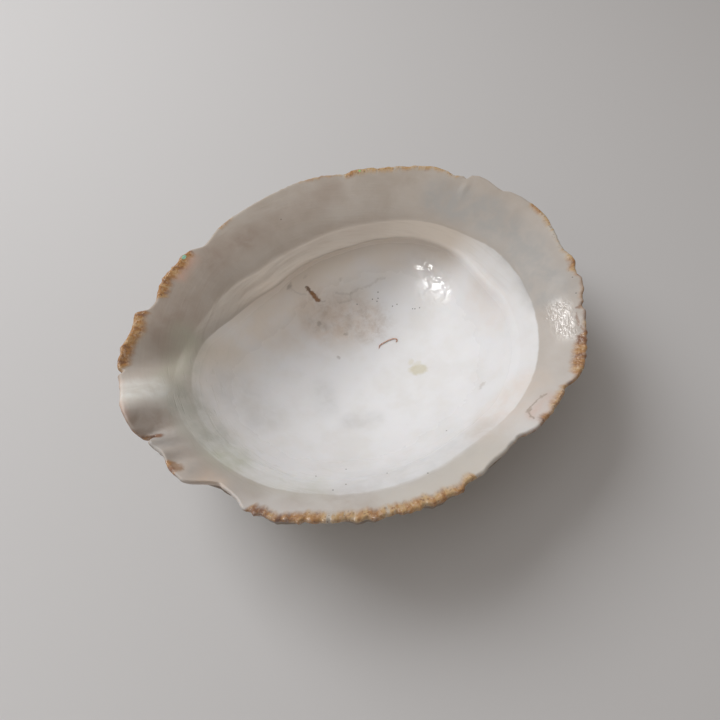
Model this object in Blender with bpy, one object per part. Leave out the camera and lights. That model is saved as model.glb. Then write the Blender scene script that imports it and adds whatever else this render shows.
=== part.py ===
"""One valve of a giant clam, lying hollow side up on the worn flat of its belly.

The whole valve grew as one piece, so it is one object. Lengths are in millimetres
until the mesh is made. Directions are degrees around the bowl's pole, seen from
above: 0 is the right end, 90 the far side, 180 the left end with its pleats.
"""

import bpy
import numpy as np

MM = 0.001

# How finely the surface is divided
COARSE_STEP, FINE_STEP = 3.4, 2.2
PLEATED = (145, 216)
FLOOR_RINGS = 8
LIP_RINGS = 3

# Margin: how far the edge reaches from the pole, at each lobe and each notch
MARGIN_REACH = [
    (0, 152), (4, 153), (12, 151), (15, 148), (21, 151), (24.5, 148), (25.5, 143),
    (27, 144), (30, 142), (33, 145), (47, 138), (52, 132), (59, 133), (64, 128),
    (68, 129), (78, 127), (89, 124), (99, 123), (110, 122), (119, 118), (124, 126),
    (128, 127), (138, 131), (143, 127), (146, 129), (148, 138), (152, 142),
    (160, 149), (166, 151), (178, 151), (181, 149), (182.5, 142), (183.5, 146),
    (188, 142), (191, 144), (195, 143), (202, 132), (207, 132), (210, 136),
    (216, 135), (231, 128), (241, 125), (255, 123), (262, 122), (266, 119),
    (269, 120), (273, 117), (284, 117), (290, 122), (302, 127), (305, 127),
    (309, 134), (313, 136), (318, 135), (331, 140), (340, 144), (342, 143),
    (345, 147), (350, 145),
]
MARGIN_HEIGHT = 86.0
MARGIN_END_LIFT, MARGIN_END_DIRECTION = 3.5, 160.0
MARGIN_SADDLE, MARGIN_SADDLE_DIRECTION = 2.5, 170.0
MARGIN_THICKNESS = [(0, 5.5), (120, 5.5), (165, 8), (200, 8), (230, 6.5), (290, 6.5)]

# Rounding of the margin's edge, as shares of its thickness
TOP_SETBACK, WIDEST_BELOW_TOP, UNDER_SETBACK = 0.35, 0.45, 0.2

# Pallial line: where the thick inner layer ends and the sloping lip begins
LINE_REACH = [
    (0, 115), (15, 110), (30, 106), (56, 93), (72, 88), (90, 84), (110, 85),
    (127, 94), (139, 100), (151, 109), (160, 118), (180, 124), (203, 120),
    (228, 110), (256, 102), (272, 100), (301, 107), (324, 112),
]
LINE_HEIGHT = [
    (0, 69), (40, 68), (90, 69), (125, 72), (150, 76), (165, 78), (190, 76),
    (228, 73), (272, 70), (324, 69),
]
LIP_CURVE = 0.4

# Inner ledge: the crest where the wall of the bowl ends, highest over the far side
CREST_REACH = [
    (0, 94), (14, 95), (30, 91), (40, 86), (52, 80), (65, 74), (85, 71), (111, 70),
    (127, 78), (139, 86), (147, 96), (152, 104), (163, 112), (180, 116), (203, 111),
    (228, 101), (256, 93), (272, 91), (301, 98), (324, 102), (342, 101),
]
CREST_HEIGHT = [
    (0, 64), (14, 65), (60, 65), (111, 65), (127, 64), (139, 66), (147, 69),
    (165, 71), (203, 69), (228, 65), (272, 62), (324, 61), (342, 62),
]

# Floor of the bowl: height = curvature x reach squared, flattest towards the right
FLOOR_HEIGHT = 10.0
FLOOR_CURVATURE = 0.0040
LENGTHWISE_EASE, LENGTH_DIRECTION = 0.0007, 15.0
DEEP_SIDE_EASE, DEEP_SIDE_DIRECTION = 0.0006, 25.0

# Ribs: grooves part one rib or pleat from the next
GROOVES = [
    3, 25, 52, 64, 89, 119, 146, 162.5, 182.5, 189.5, 197, 208, 227, 246, 266,
    284, 305, 323, 342,
]
RIB_ROUNDNESS = 0.8
OUTER_RIB_HEIGHT = 4.5
PLEAT_HEIGHT = [(0, 0.8), (130, 0.8), (155, 3), (172, 4), (200, 3.5), (225, 1.0)]
PLEAT_LENGTH = 40.0

# Fold: a valley in the lip that runs straight out from the inner ledge to the left end
FOLD_START_X, FOLD_DEEP_X, FOLD_Y = -82.0, -108.0, 47.0
FOLD_DEPTH, FOLD_HALF_WIDTH = 5.0, 12.0

# Outside: one curve from the belly to the margin, and ledges where growth paused
UMBO = np.array([10.0, 16.0])
BELLY_REACH, SHOULDER = 0.50, (0.80, 0.58)
FLAT_SHARE = 0.22
CHIP_SPAN = 12.0
CHIP_SHARE = 0.90
GROWTH_LEDGES = (0.50, 0.64, 0.76, 0.86, 0.94)
BETWEEN_LEDGES = (0.34, 0.42, 0.57, 0.70)
LEDGE_HEIGHT = 1.8
LEDGE_RUN = 0.012
SLOPE_STEP = 0.01
RIB_START, RIB_FULL = 0.28, 0.9

SHELL_COLOUR = (0.79, 0.75, 0.69, 1.0)


def around(points, directions):
    """A smooth closed curve through (direction, value) points, with no overshoot."""
    x, y = np.array(points, float).T
    x = np.concatenate([x[-2:] - 360, x, x[:2] + 360])
    y = np.concatenate([y[-2:], y, y[:2]])
    gaps = np.diff(x)
    slopes = np.diff(y) / gaps
    left, right = slopes[:-1], slopes[1:]
    turns = left * right <= 0
    mean = 2 * left * right / np.where(turns, 1, left + right)
    tangents = np.concatenate([[0], np.where(turns, 0, mean), [0]])
    at = np.asarray(directions, float) % 360
    k = np.clip(np.searchsorted(x, at, side="right") - 1, 0, len(gaps) - 1)
    t = (at - x[k]) / gaps[k]
    return (
        y[k] * (1 + 2 * t) * (1 - t) ** 2
        + y[k + 1] * t * t * (3 - 2 * t)
        + gaps[k] * (tangents[k] * t * (1 - t) ** 2 - tangents[k + 1] * t * t * (1 - t))
    )


def rib_relief(directions):
    """0 in a groove, 1 on the crown of the rib between two grooves."""
    edges = np.array([GROOVES[-1] - 360, *GROOVES, GROOVES[0] + 360])
    at = np.asarray(directions, float) % 360
    k = np.searchsorted(edges, at, side="right") - 1
    share = (at - edges[k]) / (edges[k + 1] - edges[k])
    return np.sin(np.pi * share) ** RIB_ROUNDNESS


def margin_height(directions):
    """The margin is lifted at the left end and sags between the two ends."""
    end = np.radians(directions - MARGIN_END_DIRECTION)
    saddle = 2 * np.radians(directions - MARGIN_SADDLE_DIRECTION)
    waves = MARGIN_END_LIFT * np.cos(end) + MARGIN_SADDLE * np.cos(saddle)
    return MARGIN_HEIGHT + waves


def lip_relief(directions, reach):
    """Pleats that die out inwards from the margin, and the one long fold."""
    inwards = around(MARGIN_REACH, directions) - reach
    pleat = around(PLEAT_HEIGHT, directions) * (rib_relief(directions) - 0.5)
    pleat = pleat * np.clip(1 - inwards / PLEAT_LENGTH, 0, 1)
    x, y, _ = ring(directions, reach, reach).T
    run = np.clip((FOLD_START_X - x) / (FOLD_START_X - FOLD_DEEP_X), 0, 1)
    across = (y - FOLD_Y) / FOLD_HALF_WIDTH
    return pleat - FOLD_DEPTH * run * run * (3 - 2 * run) * np.exp(-across * across)


def ring(directions, reach, height):
    """One closed ring of points around the pole."""
    a = np.radians(directions)
    return np.column_stack([reach * np.cos(a), reach * np.sin(a), height])


def bowl_rings(directions):
    """The floor and wall: an elliptic arc from the floor's curvature to the crest.

    The arc turns through more than a right angle where the wall is undercut.
    """
    reach = around(CREST_REACH, directions)
    rise = around(CREST_HEIGHT, directions) - FLOOR_HEIGHT
    lengthwise = np.cos(2 * np.radians(directions - LENGTH_DIRECTION))
    deep_side = np.cos(np.radians(directions - DEEP_SIDE_DIRECTION))
    curvature = FLOOR_CURVATURE - LENGTHWISE_EASE * lengthwise - DEEP_SIDE_EASE * deep_side
    turn = np.arccos(2 * curvature * reach * reach / rise - 1)
    for share in np.linspace(0, 1, FLOOR_RINGS + 1)[1:]:
        at = share * turn
        yield ring(
            directions,
            reach * np.sin(at) / np.sin(turn),
            FLOOR_HEIGHT + rise * (1 - np.cos(at)) / (1 - np.cos(turn)),
        )


def lip_rings(directions):
    """The pallial line, then the lip, which rises to the margin and levels out."""
    line = around(LINE_REACH, directions)
    low = around(LINE_HEIGHT, directions)
    edge = around(MARGIN_REACH, directions)
    edge = edge - TOP_SETBACK * around(MARGIN_THICKNESS, directions)
    climb = margin_height(directions) - low
    for share in np.linspace(0, 1, LIP_RINGS + 2):
        rise = share * (1 + LIP_CURVE * (1 - share))
        reach = line + share * (edge - line)
        yield ring(directions, reach, low + rise * climb + lip_relief(directions, reach))


def edge_rings(directions):
    """The rounded edge of the margin, from its widest point to its underside."""
    reach = around(MARGIN_REACH, directions)
    thickness = around(MARGIN_THICKNESS, directions)
    high = margin_height(directions) + lip_relief(directions, reach)
    yield ring(directions, reach, high - WIDEST_BELOW_TOP * thickness)
    yield ring(directions, reach - UNDER_SETBACK * thickness, high - thickness)


def outer_profile(share):
    """Height at a share of the way from umbo to margin: a Bezier, cut flat below."""
    t = np.linspace(0, 1, 400)
    out = 3 * (1 - t) ** 2 * t * BELLY_REACH + 3 * (1 - t) * t * t * SHOULDER[0] + t**3
    up = 3 * (1 - t) * t * t * SHOULDER[1] + t**3
    cut = np.interp(FLAT_SHARE, out, up)
    return np.maximum(np.interp(share, out, up) - cut, 0) / (1 - cut)


def ledge_relief(share):
    """Each growth stage swells towards its own ledge and starts afresh beyond it."""
    starts = np.array([FLAT_SHARE, *GROWTH_LEDGES, 1 + LEDGE_RUN])
    k = np.clip(np.searchsorted(starts, share, side="right") - 1, 0, len(starts) - 2)
    return ((share - starts[k]) / (starts[k + 1] - starts[k])) ** 2


def outer_shares():
    """Where the outside has rings, from the margin down to the flat."""
    shares = []
    for ledge in GROWTH_LEDGES:
        shares += [ledge - LEDGE_RUN, ledge + LEDGE_RUN]
    return sorted([*shares, *BETWEEN_LEDGES], reverse=True)


def unchipped_edge(directions):
    """The underside of the margin as it grew: a running mean without its chips."""
    turns = np.linspace(-CHIP_SPAN, CHIP_SPAN, 9)
    reach = np.mean([around(MARGIN_REACH, directions + turn) for turn in turns], axis=0)
    thickness = around(MARGIN_THICKNESS, directions)
    height = margin_height(directions) - thickness
    return ring(directions, reach - UNDER_SETBACK * thickness, height)


def outer_rings(directions, chipped):
    """Every growth stage is the margin drawn smaller about the umbo, with ribs."""
    crown = rib_relief(directions) - 0.5
    grown = unchipped_edge(directions)
    for share in outer_shares():
        chips = np.clip((share - CHIP_SHARE) / (1 - CHIP_SHARE), 0, 1)
        edge = grown + chips * (chipped - grown)
        away = edge[:, :2] - UMBO
        length = np.hypot(*away.T)
        rise = outer_profile(share + SLOPE_STEP) - outer_profile(share - SLOPE_STEP)
        slope = edge[:, 2] * rise / (2 * SLOPE_STEP * length)
        fade = np.clip((share - RIB_START) / (RIB_FULL - RIB_START), 0, 1)
        relief = OUTER_RIB_HEIGHT * fade * crown
        relief = relief + LEDGE_HEIGHT * min(1, 2 * fade) * ledge_relief(share)
        across = relief / np.sqrt(1 + slope * slope)
        plan = UMBO + away * (share + slope * across / length)[:, None]
        yield np.column_stack([plan, edge[:, 2] * outer_profile(share) - across])
    flat = UMBO + (grown[:, :2] - UMBO) * FLAT_SHARE
    yield np.column_stack([flat, np.zeros(len(flat))])


def all_directions():
    """Every lobe and notch of the margin has its own direction, with more between."""
    keys = [direction for direction, _ in MARGIN_REACH] + [360]
    directions = []
    for start, end in zip(keys, keys[1:]):
        step = FINE_STEP if PLEATED[0] <= start < PLEATED[1] else COARSE_STEP
        parts = int(np.ceil((end - start) / step))
        directions += [start + k * (end - start) / parts for k in range(parts)]
    return np.array(directions)


def split_quad(points, corners):
    """Two triangles that meet on the shorter diagonal, which keeps crests straight."""
    a, b, c, d = corners
    if np.linalg.norm(points[a] - points[c]) < np.linalg.norm(points[b] - points[d]):
        return [(a, b, c), (a, c, d)]
    return [(a, b, d), (b, c, d)]


def valve_mesh():
    """The closed surface: bowl, lip, edge and outside, as rings between two poles."""
    directions = all_directions()
    rings = [*bowl_rings(directions), *lip_rings(directions), *edge_rings(directions)]
    rings += outer_rings(directions, rings[-1])
    points = np.vstack([[[0, 0, FLOOR_HEIGHT]], *rings, [[*UMBO, 0]]])
    low, high = points.min(0), points.max(0)
    points -= [*(low + high)[:2] / 2, low[2]]

    here = np.arange(len(directions))
    sides = list(zip(here, np.roll(here, -1)))
    faces = [(0, 1 + a, 1 + b) for a, b in sides]
    for k in range(len(rings) - 1):
        near, far = 1 + k * len(here), 1 + (k + 1) * len(here)
        for a, b in sides:
            faces += split_quad(points, (near + a, far + a, far + b, near + b))
    last, end = 1 + (len(rings) - 1) * len(here), len(points) - 1
    faces += [(last + a, end, last + b) for a, b in sides]

    mesh = bpy.data.meshes.new("valve")
    mesh.from_pydata((points * MM).tolist(), [], faces)
    mesh.shade_smooth()
    return mesh


def shell_material():
    """Porcelain-like aragonite: warm white with a soft polish."""
    material = bpy.data.materials.new("shell")
    material.use_nodes = True
    surface = material.node_tree.nodes["Principled BSDF"]
    surface.inputs["Base Color"].default_value = SHELL_COLOUR
    surface.inputs["Roughness"].default_value = 0.3
    surface.inputs["Metallic"].default_value = 0.0
    return material


def main():
    for obj in list(bpy.data.objects):
        bpy.data.objects.remove(obj)
    valve = bpy.data.objects.new("valve", valve_mesh())
    valve.data.materials.append(shell_material())
    bpy.context.scene.collection.objects.link(valve)


main()
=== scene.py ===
import bpy
import numpy as np
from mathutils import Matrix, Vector


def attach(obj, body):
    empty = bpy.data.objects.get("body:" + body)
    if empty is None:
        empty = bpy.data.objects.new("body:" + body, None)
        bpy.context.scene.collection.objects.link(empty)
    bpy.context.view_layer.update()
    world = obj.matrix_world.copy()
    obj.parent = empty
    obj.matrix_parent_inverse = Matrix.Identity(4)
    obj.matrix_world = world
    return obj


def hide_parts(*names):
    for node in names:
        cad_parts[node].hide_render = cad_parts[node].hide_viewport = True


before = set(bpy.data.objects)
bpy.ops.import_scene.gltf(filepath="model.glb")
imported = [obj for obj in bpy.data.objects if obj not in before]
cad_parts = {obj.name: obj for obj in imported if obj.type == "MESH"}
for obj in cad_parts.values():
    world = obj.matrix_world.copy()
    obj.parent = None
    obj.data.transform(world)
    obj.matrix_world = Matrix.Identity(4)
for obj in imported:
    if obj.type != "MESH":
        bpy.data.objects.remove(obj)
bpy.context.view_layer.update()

# The hollow side of the valve: a porcelain-white bowl under an inner ledge, then a
# broad, greyer lip that rises to the lobed margin. It is solid aragonite, laid down by
# the animal one film at a time, so every part of it follows the same growth lines.

MM = 0.001
RUNS = 1200
turns = np.arange(RUNS) * 360.0 / RUNS
POLE = np.array([-0.86, -1.898, 0.0])

MARGIN_REACH = [
    (0, 152.5), (4, 154), (12, 152.5), (15, 149.5), (21, 151.5), (24.5, 149.5),
    (25.5, 145), (27, 146), (30, 144.5), (33, 146), (47, 139), (52, 136.5), (59, 134),
    (64, 130.5), (68, 130.5), (78, 129), (89, 126), (99, 124), (110, 123), (119, 121),
    (124, 127), (128, 128.5), (138, 131.5), (143, 130.5), (146, 133.5), (148, 140),
    (152, 141.5), (160, 149.5), (161.5, 150), (162.5, 147.5),
    (163.5, 150), (166, 149.5), (178, 149), (180.3, 147), (181.6, 140),
    (183.5, 144.5), (188, 142), (191, 143.5), (195, 143), (202, 132), (207, 133),
    (210, 136), (216, 134.5), (231, 127), (241, 124), (255, 122), (262, 121),
    (266, 118.5), (269, 118.5), (273, 117), (284, 116.5), (290, 122), (302, 126.5),
    (305, 127.5), (309, 133), (313, 135), (318, 136.5), (331, 139.5), (340, 144.5),
    (342, 144), (345, 147), (350, 146),
]
MARGIN_THICKNESS = [(0, 5.5), (120, 5.5), (160, 7), (180, 6), (192, 4.5), (214, 4.5), (230, 5.5), (290, 5.5)]
LINE_REACH = [
    (0, 115), (15, 110), (30, 106), (56, 93), (72, 88), (90, 84), (110, 85),
    (127, 94), (139, 100), (151, 109), (160, 118), (180, 124), (203, 120),
    (228, 110), (256, 102), (272, 100), (301, 107), (324, 112),
]
LINE_HEIGHT = [
    (0, 69), (40, 68), (90, 69), (125, 72), (150, 76), (165, 78), (190, 76),
    (228, 73), (272, 70), (324, 69),
]
CREST_REACH = [
    (0, 94), (14, 95), (30, 91), (40, 86), (52, 80), (65, 74), (85, 71), (111, 70),
    (127, 78), (139, 86), (147, 96), (152, 104), (163, 112), (180, 116), (203, 111),
    (228, 101), (256, 93), (272, 91), (301, 98), (324, 102), (342, 101),
]
CREST_HEIGHT = [
    (0, 64), (14, 65), (60, 65), (111, 65), (127, 64), (139, 66), (147, 69),
    (165, 71), (203, 69), (228, 65), (272, 62), (324, 61), (342, 62),
]
GROOVES = [
    3, 25, 52, 64, 89, 119, 146, 162.5, 182.5, 189.5, 197, 208, 227, 246, 266,
    284, 305, 323, 342,
]
PLEAT_HEIGHT = [(0, 0.3), (150, 0.3), (160, 0), (198, 0), (212, 0.7), (262, 0.7), (275, 0.4)]

# Swellings and furrows of the lip: x, y, half length, half width, turn, height. The first
# is the big rounded lobe of the left end; a deep furrow and smaller lobes follow it.
SWELLINGS = [
    (-144, 14, 11, 9.5, 10, 5.6), (-143, 0, 14, 8, 0, -4.2), (-145, -2.2, 9, 3.2, 0, -2.8),
    (-144, -8.5, 10, 3.0, -6, 2.1), (-140, -18, 10, 3.6, -8, 1.9), (-137, -26, 7, 3.4, -12, -2.0),
    (-132, -34, 13, 6, -20, 1.8), (-122, -50, 14, 8, -35, 1.0), (125, 57, 6, 2.4, 28, 0.55),
    (-112, 88, 14, 10, -38, 1.2), (126, -48, 9, 5, -25, 1.0),
]

FLUTES = [(0, 0.05), (140, 0.05), (160, 0.2), (200, 0.2), (212, 0.5), (262, 0.5), (275, 0.1)]

# How ragged the broken, grown-over edge is, and how crisp the crest and the crease are
RAGGED = [
    (8, 0.3), (26, 0.5), (42, 0.7), (64, 0.7), (80, 0.3), (104, 0.2), (112, 0.2),
    (122, 0.2), (125, 0.8), (141, 0.9), (144, 0.2), (148, 0.9), (160, 0.8),
    (166, 0.3), (199, 0.35), (209, 0.2), (212, 0.8), (235, 1.3), (262, 1.0),
    (272, 0.4), (290, 0.5), (304, 0.6), (312, 0.5), (330, 0.9), (348, 0.5),
]
CREST_ROUNDING = [
    (0, 7.0), (12, 4.5), (20, 2.6), (38, 1.3), (60, 0.9), (100, 0.8), (118, 1.5), (132, 3.5), (145, 7.5), (165, 12.0), (200, 10.0),
    (235, 4.0), (260, 3.0), (300, 5.0), (330, 5.0), (348, 3.5),
]
CREASE_ROUNDING = [
    (0, 0.6), (60, 0.6), (118, 0.8), (135, 1.5), (150, 7.0), (200, 8.0), (215, 3.5),
    (232, 1.2), (262, 2.0), (290, 5.0), (312, 2.0), (330, 0.8),
]


def around(points, directions):
    """A smooth closed curve through (direction, value) points, with no overshoot."""
    x, y = np.array(points, float).T
    x = np.concatenate([x[-2:] - 360, x, x[:2] + 360])
    y = np.concatenate([y[-2:], y, y[:2]])
    gaps = np.diff(x)
    slopes = np.diff(y) / gaps
    left, right = slopes[:-1], slopes[1:]
    flat = left * right <= 0
    mean = 2 * left * right / np.where(flat, 1, left + right)
    tangents = np.concatenate([[0], np.where(flat, 0, mean), [0]])
    at = np.asarray(directions, float) % 360
    k = np.clip(np.searchsorted(x, at, side="right") - 1, 0, len(gaps) - 1)
    t = (at - x[k]) / gaps[k]
    return (
        y[k] * (1 + 2 * t) * (1 - t) ** 2
        + y[k + 1] * t * t * (3 - 2 * t)
        + gaps[k] * (tangents[k] * t * (1 - t) ** 2 - tangents[k + 1] * t * t * (1 - t))
    )


def hills(seed, directions, along, degrees, length):
    """Random gentle hills, -1 to 1, that close on themselves around the valve."""
    rows = round(360 / degrees)
    x = directions / 360 * rows + 0 * along
    y = along / length + 0 * directions
    y = y - np.floor(y.min())
    grid = np.random.default_rng(seed).uniform(-1, 1, (rows, int(y.max()) + 2))
    i, j = np.floor(x).astype(int), np.floor(y).astype(int)
    u, v = x - i, y - j
    u, v = u * u * (3 - 2 * u), v * v * (3 - 2 * v)
    low = grid[i % rows, j] * (1 - u) + grid[(i + 1) % rows, j] * u
    high = grid[i % rows, j + 1] * (1 - u) + grid[(i + 1) % rows, j + 1] * u
    return low * (1 - v) + high * v


def rib_relief(directions):
    """0 in a groove, 1 on the crown of the rib between two grooves."""
    edges = np.array([GROOVES[-1] - 360, *GROOVES, GROOVES[0] + 360])
    at = np.asarray(directions, float) % 360
    k = np.searchsorted(edges, at, side="right") - 1
    return np.sin(np.pi * (at - edges[k]) / (edges[k + 1] - edges[k])) ** 0.8


def margin_height(directions):
    """The margin is lifted at the left end and sags between the two ends."""
    lift = 3.5 * np.cos(np.radians(directions - 160))
    return 86.0 + lift + 2.5 * np.cos(2 * np.radians(directions - 170))


def lip_relief(directions, reach):
    """Pleats that die out inwards from the margin, and the one long fold."""
    a = np.radians(directions)
    inwards = around(MARGIN_REACH, directions) - reach
    pleat = around(PLEAT_HEIGHT, directions) * (rib_relief(directions) ** 2.5 - 0.5)
    pleat = pleat * np.clip(1 - inwards / 40, 0, 1)
    x, y = reach * np.cos(a), reach * np.sin(a)
    run = np.clip((-80 - x) / 26, 0, 1)
    folds = -6.0 * run * run * (3 - 2 * run) * np.exp(-(((y - 43) / 12) ** 2))
    for at_x, at_y, half_length, half_width, turn, height in SWELLINGS:
        cosine, sine = np.cos(np.radians(turn)), np.sin(np.radians(turn))
        along = ((x - at_x) * cosine + (y - at_y) * sine) / half_length
        across = ((y - at_y) * cosine - (x - at_x) * sine) / half_width
        folds = folds + height * np.exp(-along * along - across * across)
    return pleat + folds


# From the bowl's pole outwards: floor and wall, ledge, lip
BOWL_PARTS, LEDGE_PARTS, LIP_PARTS = 160, 24, 90
around_shell = turns[:, None]
crest_reach = around(CREST_REACH, turns)[:, None]
rise = around(CREST_HEIGHT, turns)[:, None] - 10
flattening = 0.0007 * np.cos(2 * np.radians(around_shell - 15))
flattening = flattening + 0.0006 * np.cos(np.radians(around_shell - 25))
wall_turn = np.arccos(2 * (0.0040 - flattening) * crest_reach**2 / rise - 1)
share = np.linspace(0, 1, BOWL_PARTS + 1)[None, 1:]
bowl_reach = crest_reach * np.sin(share * wall_turn) / np.sin(wall_turn)
bowl_height = 10 + rise * (1 - np.cos(share * wall_turn)) / (1 - np.cos(wall_turn))

line_reach = around(LINE_REACH, turns)[:, None]
line_height = around(LINE_HEIGHT, turns)[:, None]
line_height = line_height + lip_relief(around_shell, line_reach)
share = np.linspace(0, 1, LEDGE_PARTS + 1)[None, 1:]
ledge_reach = crest_reach + share * (line_reach - crest_reach)
ledge_height = bowl_height[:, -1:] + share * (line_height - bowl_height[:, -1:])
far_left = np.exp(-(((turns - 115) / 30) ** 2))[:, None]
ledge_height = ledge_height - 0.35 * far_left * np.exp(-(((share - 0.5) / 0.12) ** 2))

thickness = around(MARGIN_THICKNESS, turns)[:, None]
ragged = 0.6 - 2.4 * np.abs(hills(1, around_shell, 0 * around_shell, 2.4, 1))
ragged = ragged + 0.7 * hills(2, around_shell, 0 * around_shell, 1.2, 1)
ragged = ragged * around(RAGGED, turns)[:, None]
margin_reach = around(MARGIN_REACH, turns)[:, None] + 0.6 * ragged
share = np.linspace(0, 1, LIP_PARTS + 1)[None, 1:]
lip_reach = line_reach + share * (margin_reach - 0.35 * thickness - line_reach)
unchipped = np.mean([around(MARGIN_REACH, turns + k) for k in np.linspace(-9, 9, 13)], axis=0)[:, None]


def lip_surface(reach):
    """Height of the lip, as it was before its edge was notched and broken."""
    low = around(LINE_HEIGHT, turns)[:, None]
    share = (reach - line_reach) / (unchipped - 0.35 * thickness - line_reach)
    climb = margin_height(around_shell) - low
    return low + share * (1.4 - 0.4 * share) * climb + lip_relief(around_shell, reach)


lip_height = lip_surface(lip_reach)
crispness = np.clip(1.5 - around(CREASE_ROUNDING, turns) / 2, 0, 1)[:, None]
lip_height = lip_height - 0.7 * crispness * np.exp(-(lip_reach - line_reach) / 5)

reach = np.hstack([bowl_reach, ledge_reach, lip_reach])
height = np.hstack([bowl_height, ledge_height, lip_height])
crest_at, line_at = BOWL_PARTS - 1, BOWL_PARTS + LEDGE_PARTS - 1

# The crest and the crease are rounded: each meridian is eased where they lie
EASING_PASSES = 280
steps = np.hypot(np.diff(reach, axis=1), np.diff(height, axis=1))
along = np.hstack([bowl_reach[:, :1], bowl_reach[:, :1] + np.cumsum(steps, axis=1)])
spacing = np.hstack([steps[:, :1], steps])
ease = np.zeros_like(reach)
for at, rounding in ((crest_at, CREST_ROUNDING), (line_at, CREASE_ROUNDING)):
    radius = around(rounding, turns)[:, None]
    near = np.exp(-(((along - along[:, at : at + 1]) / (2.2 * radius)) ** 2))
    ease = np.maximum(ease, near * 2 * (radius / spacing) ** 2 / EASING_PASSES)
ease = np.clip(ease, 0, 1)[:, 1:-1]
for _ in range(EASING_PASSES):
    for part in (reach, height):
        middle = (part[:, :-2] + part[:, 2:]) / 2
        part[:, 1:-1] += 0.5 * ease * (middle - part[:, 1:-1])

# Rings are kept closer together at the crest, the crease and the margin
bowl_rings = np.concatenate([np.linspace(5, 132, 21), np.linspace(136, crest_at, 12)])
ledge_rings = np.linspace(crest_at + 2, line_at - 1, 13)
lip_rings = np.concatenate([np.linspace(line_at + 1, line_at + 66, 18), np.linspace(line_at + 69, line_at + LIP_PARTS, 9)])
kept = np.concatenate([bowl_rings, ledge_rings, lip_rings]).round().astype(int)
past_crest = (along - along[:, crest_at : crest_at + 1])[:, kept]
past_line = (along - along[:, line_at : line_at + 1])[:, kept]
from_edge = (along[:, -1:] - along)[:, kept] + 0.35 * thickness
reach, height, along = reach[:, kept], height[:, kept], along[:, kept]

# The margin's rounded edge, down to its underside
bend = np.radians(np.linspace(0, 90, 6))[None, 1:]
top = lip_surface(margin_reach - 0.35 * thickness)
over = margin_reach - 0.35 * thickness * (1 - np.sin(bend))
over_height = top - 0.45 * thickness * (1 - np.cos(bend))
bend = np.radians(np.linspace(0, 90, 5))[None, 1:]
under = margin_reach - 0.2 * thickness * (1 - np.cos(bend))
under_height = top - (0.45 + 0.55 * np.sin(bend)) * thickness
edge_reach = np.hstack([over, under])
edge_height = np.hstack([over_height, under_height])
round_edge = along[:, -1:] + np.linspace(0.5, 9, 9)[None, :] * thickness / 6
reach, height = np.hstack([reach, edge_reach]), np.hstack([height, edge_height])
past_crest = np.hstack([past_crest, past_crest[:, -1:] + round_edge - along[:, -1:]])
past_line = np.hstack([past_line, past_line[:, -1:] + round_edge - along[:, -1:]])
along = np.hstack([along, round_edge])
from_edge = np.hstack([from_edge, from_edge[:, -1:] + along[:, -10:-9] - round_edge])

# Crust width inwards from the edge, in millimetres, and its tone from ochre to brown
CRUST_WIDTH = [
    (6, 3.5), (7, -2), (25, -2), (26.5, 2), (42, 4), (52, 4.5), (52.5, 2), (53.5, 5),
    (62.5, 5), (64, 2), (78, 1.5), (80, -2), (104, -2), (106, 1.5), (111, 2),
    (112.5, -2), (122.5, -2), (124, 5), (131, 7), (141, 6.5), (143, -1), (146.5, -1),
    (147.5, 7), (155, 8), (161, 7), (162.5, 0), (168, -1), (178, -1), (180.5, 1),
    (183, 0), (184, -3), (188.5, -3), (190, 2), (193, 2), (194.5, -4), (209.5, -4), (211.5, 5),
    (216, 4), (224, 6), (231, 5), (240, 6), (250, 6), (260, 5), (263, 4), (267, 3),
    (268, -2), (272, -3), (290, -1), (293, 3.5), (296, 2), (299, 3.5), (305, 3.5),
    (306, 0.5), (308.5, 1), (310, 6), (316, 8), (321, 6.5), (323, 1.5), (330, 1.5), (341, 1),
    (342.5, 5), (346.5, 4.5), (348, 2.5), (356, 3), (358.5, 3.5),
]
CRUST_TONE = [
    (0, 0.2), (5, 0.5), (8, -0.3), (30, -0.1), (40, 0.15), (60, 0.2), (78, 0.3), (125, 0.5), (140, 0.6), (150, 0.5),
    (160, 0.6), (170, 0.7), (190, 0.7), (212, 0.6), (220, 0.5), (230, 0.1), (240, 0.4),
    (250, 0.3), (262, 0.2), (266, 0.1), (290, 0.9), (302, 0.25), (312, 0.7), (325, 0.8),
    (344, 0.5), (349, -0.4), (357, -0.4), (358.5, 0.4),
]
# How much of the lip takes its grey colour; the dip near 170 degrees leaves the lit side of the first lobe white,
# which is painted light.
LIP_GREY = [
    (0, 0.85), (30, 1), (120, 1), (150, 0.9), (163, 0.8), (170, 0.15), (176, 0.35), (188, 0.65), (205, 0.65),
    (225, 0.3), (270, 0.1), (295, 0.5), (315, 0.75), (340, 0.8),
]
LEDGE_GREY = [(0, 0.2), (20, 0.3), (40, 0.7), (60, 1), (140, 1), (165, 0.6), (200, 0.2), (260, 0), (335, 0.1)]
WRINKLED = [(0, 0), (120, 0), (150, 0.4), (165, 1), (205, 1), (225, 0.6), (275, 0.4), (300, 0.2), (330, 0)]
GLASSY = [(0, 0.15), (30, 0.15), (60, 0.05), (150, 0.05), (200, 0.2), (260, 0.15), (295, 0.3), (308, 0.5), (322, 0.3), (332, 0.05), (352, 0.05)]
# Where painted shade darkens the wall just under the crest
PAINTED_SHADE_UNDER_CREST = [(0, 0), (6, 0.1), (20, 1), (90, 1), (125, 0.5), (145, 0)]
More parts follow.
